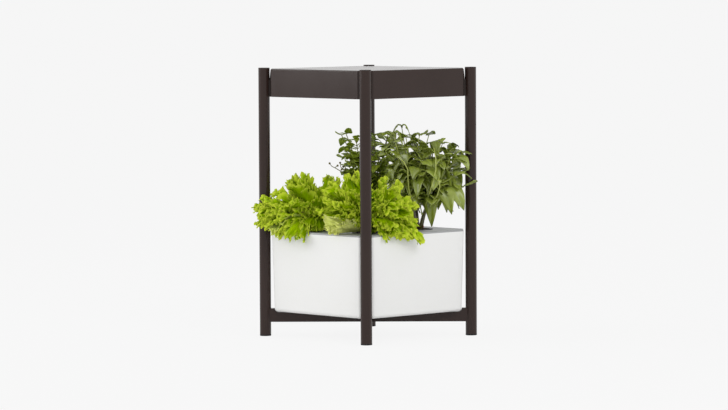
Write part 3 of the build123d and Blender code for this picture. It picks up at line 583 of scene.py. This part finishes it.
def ruffledPoint(rib, leaf, shape, phase, waves, across, reach):
    # across goes from -1 to 1 with the leaf's width, reach from 0 at its base to 1 at its margin
    broad, middle, fine, bend = shape["broad"], shape["middle"], shape["fine"], shape["bend"]
    turn = across * shape["fan"]
    drift = unevenness(across, shape["drift"], phase["drift"])
    angle = {key: waves[key] * across + shape[key]["drift"] * drift + phase[key]
             + shape[key]["slant"] * reach for key in waves}
    swell = shape["swell"]["middle"] + unevenness(across, shape["swell"], phase["lobes"])
    swell *= leaf["ruffled"]
    wave = broad["size"] * swell * reach ** broad["power"]
    ripple = middle["size"] * swell * reach ** middle["power"]
    frill = fine["size"] * leaf["ruffled"] * reach ** fine["power"]
    out = leafReachShare(across, reach, shape, phase, angle["fine"])
    point, along, sideways, face = rib.at(min(1.0, max(0.0, out * math.cos(turn))))
    wide = out * math.sin(turn) * leaf["half"]
    lift = bend["size"] * reach ** bend["power"] * math.sin(bend["waves"] * across + phase["bend"])
    lift += wave * math.sin(angle["broad"])
    lift += ripple * math.sin(angle["middle"]) + frill * math.sin(angle["fine"])
    lift += leaf["cup"] * wide * wide / leaf["half"]
    slide = shape["slide"] * ripple * math.sin(2 * angle["middle"])
    curl = shape["curl"] * ripple * math.cos(angle["middle"])
    curl += shape["curl"] * frill * math.cos(angle["fine"])
    outgoing = along * math.cos(turn) + sideways * math.sin(turn)
    beside = sideways * math.cos(turn) - along * math.sin(turn)
    crumple = crumpled(point, wide, reach, shape["crumple"], phase)
    return point + sideways * wide + face * lift + outgoing * curl + beside * slide + crumple


def lettuceLeaf(mesh, layers, corner, leaf, shape, dice):
    leaf = {**plainLeaf, **leaf}
    base = plantBase(corner) + up * shape["foot"]
    base += Vector((leaf["tip"].x - base.x, leaf["tip"].y - base.y, 0)).normalized() * shape["heart"]
    rib = Rib(base, leaf["tip"], leaf["rise"], leaf["roll"])
    side = sideOfPost(leaf["tip"], corner)
    phase = {key: dice.uniform(0, math.tau) for key in leafPhases}
    waves = {key: shape[key]["waves"] * dice.uniform(*shape["waveSpread"])
             for key in ("broad", "middle", "fine")}
    tone = dice.random()
    made = bmesh.ops.create_grid(mesh, x_segments=shape["columns"], y_segments=shape["rows"], size=0.5)
    for vert in made["verts"]:
        across, reach = vert.co.x * 2, 1 - (0.5 - vert.co.y) ** shape["crowding"]
        turn = across * shape["fan"]
        point = ruffledPoint(rib, leaf, shape, phase, waves, across, reach)
        vert.co = keepClear(point, corner, side)
        vert[layers["rim"]] = reach
        vert[layers["along"]] = reach * math.cos(turn)
        vert[layers["across"]] = reach * math.sin(turn)
        vert[layers["tone"]] = tone
        vert[layers["pale"]] = leaf["pale"]


# outline: columns of the view with the highest and the lowest leaf tips there, in pixels
# near and far: columns and rows of tips on the two sides of the dome; tip: column, row, nearness
lettuceHeads = {
    "left": {
        "seed": 3,
        "outline": [(256, 202, 220), (264, 198, 234), (274, 193, 235), (284, 187, 237), (293, 179, 238),
                    (302, 176, 238), (310, 180, 235), (319, 188, 233), (330, 189, 231), (344, 188, 229)],
        "near": (6, 4), "far": (4, 2), "depth": 0.095, "middle": 0.0, "inset": 26.0,
        "chosen": [
            {"tip": (303, 175, 0.030), "half": 0.036, "rise": 0.42, "cup": 0.2, "roll": 0.3},
            {"tip": (306, 178, 0.022), "half": 0.032, "rise": 0.42},
            {"tip": (289, 180, 0.020), "half": 0.036, "rise": 0.42},
            {"tip": (276, 191, 0.030), "half": 0.040, "rise": 0.45},
            {"tip": (253, 209, 0.030), "half": 0.050, "rise": 0.40},
            {"tip": (276, 238, 0.070), "half": 0.044, "rise": 0.50},
            {"tip": (263, 227, 0.052), "half": 0.046, "rise": 0.45},
            {"tip": (328, 177, 0.020), "half": 0.034, "rise": 0.45},
            {"tip": (337, 176, 0.010), "half": 0.034, "rise": 0.45},
            {"tip": (294, 173, 0.005), "half": 0.034, "rise": 0.42},
            {"tip": (256, 207, 0.036), "half": 0.050, "rise": 0.35, "cup": 0.6},
            {"tip": (264, 200, 0.020), "half": 0.042, "rise": 0.45},
            {"tip": (270, 232, 0.066), "half": 0.044, "rise": 0.45, "pale": 0.45},
            {"tip": (300, 241, 0.114), "half": 0.050, "rise": 0.50},
            {"tip": (288, 239, 0.100), "half": 0.048, "rise": 0.50},
            {"tip": (279, 233, 0.078), "half": 0.044, "rise": 0.50},
            {"tip": (313, 238, 0.112), "half": 0.046, "rise": 0.55},
            {"tip": (256, 224, 0.040), "half": 0.046, "rise": 0.50},
        ],
    },
    "front": {
        "seed": 11,
        "outline": [(317, 186, 226), (330, 180, 230), (345, 177, 230), (358, 172, 230), (373, 175, 232),
                    (385, 179, 236), (396, 183, 240), (406, 190, 242), (414, 197, 243), (420, 204, 241)],
        "near": (7, 4), "far": (5, 2), "depth": 0.100, "middle": 0.133, "inset": 26.0,
        "chosen": [
            # the first two leaves are pale, partly by their own colour and partly by painted light
            {"tip": (322, 223, 0.222), "half": 0.034, "rise": 0.12, "pale": 1.0, "cup": 0.0,
             "roll": 1.5, "ruffled": 0.8},
            {"tip": (333, 229, 0.230), "half": 0.032, "rise": 0.10, "pale": 1.0, "cup": 0.0,
             "roll": 1.4, "ruffled": 0.7},
            {"tip": (424, 241, 0.182), "half": 0.048, "rise": 0.50},
            {"tip": (409, 239, 0.200), "half": 0.044, "rise": 0.55},
            {"tip": (396, 242, 0.218), "half": 0.044, "rise": 0.55},
            {"tip": (387, 241, 0.232), "half": 0.040, "rise": 0.55},
            {"tip": (414, 236, 0.195), "half": 0.044, "rise": 0.60},
            {"tip": (402, 234, 0.215), "half": 0.044, "rise": 0.65},
            {"tip": (388, 230, 0.238), "half": 0.040, "rise": 0.65},
            {"tip": (333, 181, 0.110), "half": 0.040, "rise": 0.45},
            {"tip": (345, 178, 0.130), "half": 0.038, "rise": 0.42},
            {"tip": (357, 171, 0.120), "half": 0.036, "rise": 0.40},
            {"tip": (384, 178, 0.140), "half": 0.040, "rise": 0.40},
            {"tip": (400, 184, 0.150), "half": 0.040, "rise": 0.45},
            {"tip": (417, 205, 0.150), "half": 0.044, "rise": 0.45},
        ],
    },
}
# ranges for the leaves on the dome's other tips, and for the small upright ones in the middle
freeLeaves = {"half": (0.038, 0.054), "rise": (0.38, 0.62), "roll": (-0.7, 0.7), "cup": (0.1, 0.6)}
heartLeaves = {"count": 8, "reach": (0.01, 0.045), "height": (0.045, 0.085), "half": 0.026, "rise": 0.5}
lettucePieces = ("First", "Second", "Third")


def growLettuce(corner, head, shape, finish):
    dice = random.Random(head["seed"])
    leaves = [dict(leaf, tip=framePoint(*leaf["tip"])) for leaf in head["chosen"]]
    for tip in domeTips(head, dice):
        leaves.append({"tip": tip, **{key: dice.uniform(*span) for key, span in freeLeaves.items()}})
    base = plantBase(corner)
    for _ in range(heartLeaves["count"]):
        turned = dice.uniform(0, math.tau)
        reach = dice.uniform(*heartLeaves["reach"])
        height = dice.uniform(*heartLeaves["height"])
        tip = base + Vector((math.cos(turned) * reach, math.sin(turned) * reach, height))
        leaves.append({"tip": tip, "half": heartLeaves["half"], "rise": heartLeaves["rise"]})
    share = math.ceil(len(leaves) / len(lettucePieces))
    print(corner, len(leaves), "leaves")
    for number, label in enumerate(lettucePieces):
        mesh, layers = startPlant()
        for leaf in leaves[number * share:(number + 1) * share]:
            lettuceLeaf(mesh, layers, corner, leaf, shape, dice)
        piece = finishPlant(mesh, f"{corner}Lettuce{label}Leaves", finish, shape["thickness"])
        settle(piece, corner, f"{corner}_lettuce")


# bushes: forked stalks with pairs of leaves
stalkSides = 7


def stalk(mesh, layers, points, thick, thin, woody):
    # a closed tube along the points: a ring that is extruded and turned at each of them
    ring = bmesh.ops.create_circle(mesh, cap_ends=True, segments=stalkSides, radius=thick)["verts"]
    heading = (points[1] - points[0]).normalized()
    turn = up.rotation_difference(heading).to_matrix()
    for vert in ring:
        vert.co = points[0] + turn @ vert.co
    edges = list(dict.fromkeys(edge for vert in ring for edge in vert.link_edges))
    shell = list(ring)
    for index in range(1, len(points)):
        made = bmesh.ops.extrude_edge_only(mesh, edges=edges)["geom"]
        ring = [item for item in made if isinstance(item, bmesh.types.BMVert)]
        fresh = set(ring)
        edges = [item for item in made if isinstance(item, bmesh.types.BMEdge)
                 and item.verts[0] in fresh and item.verts[1] in fresh]
        ahead = (points[min(index + 1, len(points) - 1)] - points[index - 1]).normalized()
        turn = heading.rotation_difference(ahead).to_matrix()
        before = thick + (thin - thick) * (index - 1) / (len(points) - 1)
        after = thick + (thin - thick) * index / (len(points) - 1)
        for vert in ring:
            vert.co = points[index] + turn @ (vert.co - points[index - 1]) * (after / before)
        heading = ahead
        shell += ring
    bmesh.ops.contextual_create(mesh, geom=edges)
    for vert in shell:
        vert[layers["stalk"]] = 1.0
        vert[layers["tone"]] = woody


# what the leaves of both bushes share
bladeShape = {
    "rise": (0.4, 1.5),         # shares of the bush's own rise
    "roll": (-0.9, 0.9),        # radians from base to tip
    "singleRoll": 1.3,
    "narrowest": 0.0007,        # half the width of a leaf's own stem
    "veinSlant": 0.3,
    "veinPower": 0.5,
    "wave": 0.03,               # of the margin, as a share of the leaf's length
    "waves": 9,
    "waveStart": 20,            # radians that it shifts by from tone 0 to tone 1
    "thickness": 0.0005,
}


def bushLeaf(mesh, layers, corner, joint, tip, leaf, side, dice, roll=None):
    # an oval leaf with a pointed tip, folded along its midrib and puckered between its veins
    size = (tip - joint).length
    rise = leaf["rise"] * dice.uniform(*bladeShape["rise"])
    rib = Rib(joint, tip, rise, dice.uniform(*bladeShape["roll"]) if roll is None else roll)
    tone = dice.random()
    made = bmesh.ops.create_grid(mesh, x_segments=leaf["columns"], y_segments=leaf["rows"], size=0.5)
    for vert in made["verts"]:
        across, along = vert.co.x * 2, vert.co.y + 0.5
        blade = max(0.0, (along - leaf["stem"]) / (1 - leaf["stem"]))
        width = math.sin(math.pi * blade ** leaf["fullness"]) ** leaf["roundness"] * leaf["half"] * size
        wide = across * max(width, bladeShape["narrowest"])
        point, _, sideways, face = rib.at(along)
        lift = leaf["fold"] * abs(wide) - leaf["arch"] * wide * wide / (leaf["half"] * size)
        slanted = blade - bladeShape["veinSlant"] * abs(across)
        puckers = abs(math.sin(leaf["veins"] * math.pi * slanted))
        lift += leaf["pucker"] * size * puckers * abs(across) ** bladeShape["veinPower"]
        waved = math.sin(bladeShape["waves"] * blade + tone * bladeShape["waveStart"])
        lift += bladeShape["wave"] * size * waved * across
        vert.co = keepClear(point + sideways * wide + face * lift, corner, side)
        vert[layers["rim"]] = abs(across)
        vert[layers["along"]] = blade
        vert[layers["across"]] = across
        vert[layers["tone"]] = tone


# single: base and tip of leaves that stand apart from the stalks
# arches: stems that arch in front of the leaves; sprigs: tips of stems with buds
# pitch: metres between pairs of leaves; firstNode: share of a branch before them; droop: degrees
bushes = {
    "right": {
        "name": "basilBush", "node": "basil_plant", "slot": "basil_leaf", "seed": 5, "finish": "basilLeaf",
        "outline": [(380, 131, 186), (388, 125, 192), (400, 125, 196), (412, 131, 200), (425, 133, 202),
                    (444, 130, 204), (452, 141, 200), (459, 147, 194), (466, 158, 186)],
        "near": (6, 4), "far": (4, 3), "depth": 0.092, "middle": 0.0, "inset": 30.0,
        "trunks": 3, "trunkHeight": 0.052, "trunkSpread": 0.022,
        "trunkRadius": 0.0062, "branchRadius": 0.0022,
        "sprigs": [],
        "single": [((441, 196, 0.050), (464, 211, 0.062)), ((437, 197, 0.045), (452, 215, 0.075)),
                   ((438, 194, 0.040), (447, 213, 0.050)), ((428, 204, 0.035), (432, 227, 0.045)),
                   ((449, 186, 0.030), (461, 203, 0.030))],
        "arches": [[(424, 212, 0.020), (426, 203, 0.050), (430, 192, 0.085), (433, 182, 0.100),
                    (436, 170, 0.106), (436, 159, 0.102), (434, 148, 0.090)],
                   [(420, 213, 0.020), (415, 203, 0.050), (409, 192, 0.080), (408, 180, 0.098),
                    (408, 170, 0.104), (404, 162, 0.102), (398, 157, 0.092)],
                   [(427, 212, 0.020), (431, 204, 0.060), (437, 196, 0.088), (440, 187, 0.096),
                    (438, 178, 0.094)]],
        "pitch": 0.028, "firstNode": 0.30, "largest": 0.064, "smallest": 0.038, "droop": (-25, 55),
        "leaf": {"columns": 6, "rows": 9, "stem": 0.10, "fullness": 0.74, "roundness": 0.72,
                 "half": 0.36, "fold": 0.22, "arch": 0.5, "pucker": 0.05, "veins": 5, "rise": 0.36},
    },
    "back": {
        "name": "herbBush", "node": "herb_plant", "slot": "herb_leaf", "seed": 9, "finish": "herbLeaf",
        "outline": [(338, 134, 172), (346, 132, 182), (358, 130, 190), (372, 129, 190), (384, 130, 190),
                    (394, 136, 185)],
        "near": (5, 3), "far": (4, 2), "depth": 0.080, "middle": -0.133, "inset": 24.0,
        "trunks": 3, "trunkHeight": 0.045, "trunkSpread": 0.018,
        "trunkRadius": 0.0030, "branchRadius": 0.0016,
        "sprigs": [(332, 166, -0.070), (341, 167, -0.080)],
        "single": [],
        "arches": [],
        "pitch": 0.024, "firstNode": 0.22, "largest": 0.040, "smallest": 0.027, "droop": (-35, 30),
        "leaf": {"columns": 6, "rows": 7, "stem": 0.12, "fullness": 0.82, "roundness": 0.60,
                 "half": 0.40, "fold": 0.16, "arch": 0.35, "pucker": 0.04, "veins": 4, "rise": 0.35},
    },
}
# stalks of both bushes; most pairs of numbers are ranges, lengths are in metres, woody is 0 to 1
trunkShape = {"steps": 5, "turn": 0.25, "height": (0.85, 1.2), "apart": 0.006, "sunk": 0.002,
              "rise": 0.6, "taper": 0.7, "woody": 1.0}
branchShape = {"steps": 14, "rise": (0.55, 0.75), "tipRadius": 0.0009, "woody": 0.25,
               "fewestGaps": 3, "shrink": 1.5, "turn": (-0.3, 0.3), "size": (0.85, 1.15)}
archShape = {"radius": 0.0014, "tipRadius": 0.0009, "woody": 0.1}
sprigShape = {"steps": 16, "rise": 0.5, "tipRadius": 0.0008, "woody": 0.5}
budShape = {"steps": (9, 11, 13, 15, 16), "level": (-1, 1), "upright": (-0.2, 0.9), "reach": 0.012,
            "knee": 0.6, "stemRadius": 0.0007, "radius": 0.0028, "rounding": 2, "woody": 0.7}


def growTrunks(mesh, layers, root, spec, dice):
    forks = []
    for trunk in range(spec["trunks"]):
        turned = math.tau * (trunk + trunkShape["turn"]) / spec["trunks"]
        aside = Vector((math.cos(turned), math.sin(turned), 0))
        height = dice.uniform(*trunkShape["height"])
        fork = root + aside * spec["trunkSpread"] + up * spec["trunkHeight"] * height
        start = root + aside * trunkShape["apart"] - up * trunkShape["sunk"]
        path = Rib(start, fork, trunkShape["rise"]).points(trunkShape["steps"])
        radius = spec["trunkRadius"]
        stalk(mesh, layers, path, radius, radius * trunkShape["taper"], trunkShape["woody"])
        forks.append(fork)
    return forks


def growBranch(mesh, layers, corner, fork, tip, spec, dice):
    # a stalk to one of the dome's tips, with pairs of leaves along it
    side = sideOfPost(tip, corner)
    rib = Rib(fork, tip, dice.uniform(*branchShape["rise"]))
    path = [keepClear(point, corner, side) for point in rib.points(branchShape["steps"])]
    stalk(mesh, layers, path, spec["branchRadius"], branchShape["tipRadius"], branchShape["woody"])
    length = sum((b - a).length for a, b in zip(path, path[1:]))
    gaps = max(branchShape["fewestGaps"], int(length * (1 - spec["firstNode"]) / spec["pitch"]))
    spin = dice.uniform(0, math.tau)
    for number in range(gaps + 1):
        share = spec["firstNode"] + (1 - spec["firstNode"]) * number / gaps
        joint = rib.at(share)[0]
        size = spec["largest"] + (spec["smallest"] - spec["largest"]) * share ** branchShape["shrink"]
        for half in (0, math.pi):
            turned = spin + number * math.pi / 2 + half + dice.uniform(*branchShape["turn"])
            droop = math.radians(dice.uniform(*spec["droop"]))
            pointing = Vector((math.cos(turned) * math.cos(droop), math.sin(turned) * math.cos(droop),
                               -math.sin(droop)))
            end = joint + pointing * size * dice.uniform(*branchShape["size"])
            bushLeaf(mesh, layers, corner, joint, end, spec["leaf"], side, dice)


def growSprig(mesh, layers, fork, tip, spec, dice):
    path = Rib(fork, tip, sprigShape["rise"]).points(sprigShape["steps"])
    stalk(mesh, layers, path, spec["branchRadius"], sprigShape["tipRadius"], sprigShape["woody"])
    for step in budShape["steps"]:
        joint = path[step]
        aside = Vector((dice.uniform(*budShape["level"]), dice.uniform(*budShape["level"]),
                        dice.uniform(*budShape["upright"]))).normalized() * budShape["reach"]
        stem = [joint, joint + aside * budShape["knee"], joint + aside]
        stalk(mesh, layers, stem, budShape["stemRadius"], budShape["stemRadius"], sprigShape["woody"])
        bud = bmesh.ops.create_icosphere(mesh, subdivisions=budShape["rounding"],
                                         radius=budShape["radius"],
                                         matrix=Matrix.Translation(joint + aside))["verts"]
        for vert in bud:
            vert[layers["stalk"]], vert[layers["tone"]] = 1.0, budShape["woody"]


def growBush(corner, spec, finish):
    dice = random.Random(spec["seed"])
    mesh, layers = startPlant()
    forks = growTrunks(mesh, layers, plantBase(corner), spec, dice)
    for tip in domeTips(spec, dice):
        fork = min(forks, key=lambda place: (place.xy - tip.xy).length)
        growBranch(mesh, layers, corner, fork, tip, spec, dice)
    for base, tip in spec["single"]:
        base, tip = framePoint(*base), framePoint(*tip)
        side = sideOfPost(tip, corner)
        bushLeaf(mesh, layers, corner, base, tip, spec["leaf"], side, dice, bladeShape["singleRoll"])
    for arch in spec["arches"]:
        stalk(mesh, layers, [framePoint(*place) for place in arch],
              archShape["radius"], archShape["tipRadius"], archShape["woody"])
    for sprig in spec["sprigs"]:
        growSprig(mesh, layers, forks[0], framePoint(*sprig), spec, dice)
    piece = finishPlant(mesh, spec["name"], finish, bladeShape["thickness"])
    settle(piece, corner, spec["node"])


# finishes of the leaves; colours go from painted shade on the inner leaf to its young rim, which is lighter
# partly by its own colour and partly by painted light
leafFinishes = {
    "lettuceLeaf": {"youngRimHighlight": srgb(232, 246, 80), "grown": srgb(200, 232, 8), "shade": srgb(176, 210, 0),
                    "paintedInnerShade": srgb(118, 146, 0), "rib": srgb(206, 218, 128), "stem": srgb(196, 210, 120),
                    "woody": srgb(150, 160, 80), "light": srgb(252, 255, 168), "roughness": 0.50,
                    "through": 0.32, "specular": 0.06, "rim": 0.90, "inner": (0.25, 0.80),
                    "mottle": 60.0, "veins": 26.0},
    "basilLeaf": {"youngRimHighlight": srgb(182, 196, 96), "grown": srgb(172, 188, 74), "shade": srgb(132, 146, 44),
                  "paintedInnerShade": srgb(144, 160, 58), "rib": srgb(176, 198, 116), "stem": srgb(190, 200, 96),
                  "woody": srgb(96, 88, 46), "light": srgb(150, 176, 110), "roughness": 0.24,
                  "through": 0.28, "specular": 0.85, "rim": 0.85, "inner": (0.0, 0.2),
                  "mottle": 45.0, "veins": 11.0},
    "herbLeaf": {"youngRimHighlight": srgb(188, 204, 84), "grown": srgb(176, 194, 60), "shade": srgb(138, 158, 38),
                 "paintedInnerShade": srgb(148, 166, 44), "rib": srgb(168, 188, 108), "stem": srgb(146, 152, 66),
                 "woody": srgb(92, 70, 48), "light": srgb(150, 176, 110), "roughness": 0.42,
                 "through": 0.30, "specular": 0.4, "rim": 0.85, "inner": (0.0, 0.2),
                 "mottle": 55.0, "veins": 9.0},
}
leafGrain = {               # what all leaf finishes share
    "mottleDetail": 3.0,
    "fineScale": 400.0,
    "fineDetail": 2.0,
    "toneShare": 0.55,      # of a leaf's own tone and of the mottling in its colour
    "mottleShare": 0.45,
    "toneRange": (0.25, 0.75),
    "ribFade": 0.8,         # how far the midrib has faded at the tip
    # paleShare: how far a pale leaf turns to its colour of paleness and painted light
    "paleShare": 0.92,
    "fineHeight": 0.5,
    "ribHeight": 0.6,
    "bump": 0.35,
    "bumpDistance": 0.001,
    "mottleRoughness": 0.15,
}


def leafColour(wire, spec, mottle, midrib, stem):
    rim, tone, pale = (attribute(wire, key) for key in ("rim", "tone", "pale"))
    shading = leafGrain["toneShare"] * tone + leafGrain["mottleShare"] * mottle
    colour = blend(wire, shading.between(*leafGrain["toneRange"]), spec["shade"], spec["grown"])
    # painted shade: the inner part of each leaf is darkened as the recesses and creases between leaves
    # would be
    colour = blend(wire, rim.between(*spec["inner"]), spec["paintedInnerShade"], colour)
    # the margin gets a lighter yellow-green, partly the leaf's own paler rim and partly painted light on
    # the frills
    colour = blend(wire, rim.between(spec["rim"], 1.0), colour, spec["youngRimHighlight"])
    colour = blend(wire, midrib, colour, spec["rib"])
    # pale leaves turn a near-white yellow-green, partly their own paleness and partly painted light where
    # they face the lamps
    colour = blend(wire, leafGrain["paleShare"] * pale, colour, spec["light"])
    bark = blend(wire, tone, spec["stem"], spec["woody"])
    return blend(wire, stem, colour, bark)


def leafFinish(name, spec):
    made, wire = material(name)
    place = objectPlace(wire)
    mottle = grain(wire, place, spec["mottle"], leafGrain["mottleDetail"])
    fine = grain(wire, place, leafGrain["fineScale"], leafGrain["fineDetail"])
    along, stem = attribute(wire, "along"), attribute(wire, "stalk")
    beside = wire.maths("ABSOLUTE", attribute(wire, "across"))
    midrib = (1 - beside * spec["veins"]).clamped() * (1 - along * leafGrain["ribFade"]).clamped()
    colour = leafColour(wire, spec, mottle, midrib, stem)
    height = leafGrain["fineHeight"] * fine + mottle - leafGrain["ribHeight"] * midrib
    normal = wire.node("ShaderNodeBump", None, {
        "Strength": leafGrain["bump"], "Distance": leafGrain["bumpDistance"], "Height": height})
    rough = spec["roughness"] + leafGrain["mottleRoughness"] * (mottle - noiseMiddle)
    skin = wire.node("ShaderNodeBsdfPrincipled", None, {
        "Base Color": colour, "Roughness": rough, "Specular IOR Level": spec["specular"],
        "Normal": normal})
    glow = wire.node("ShaderNodeBsdfTranslucent", None, {"Color": colour, "Normal": normal})
    through = spec["through"] * (1 - stem)
    return finishSurface(made, wire, wire.node("ShaderNodeMixShader", None, {0: through, 1: skin, 2: glow}))


placeCamera(camera)
scene.view_settings.view_transform = "Standard"
buildFloor(stage)
buildWorld(stage)
addLamps(lamps)
print("stage ready")
dressNodes()
print("hard pieces dressed")
leafLooks = {name: leafFinish(name, spec) for name, spec in leafFinishes.items()}
for corner, head in lettuceHeads.items():
    growLettuce(corner, head, lettuceShape, leafLooks["lettuceLeaf"])
print("lettuce grown")
for corner, spec in bushes.items():
    growBush(corner, spec, leafLooks[spec["finish"]])
print("herbs grown")
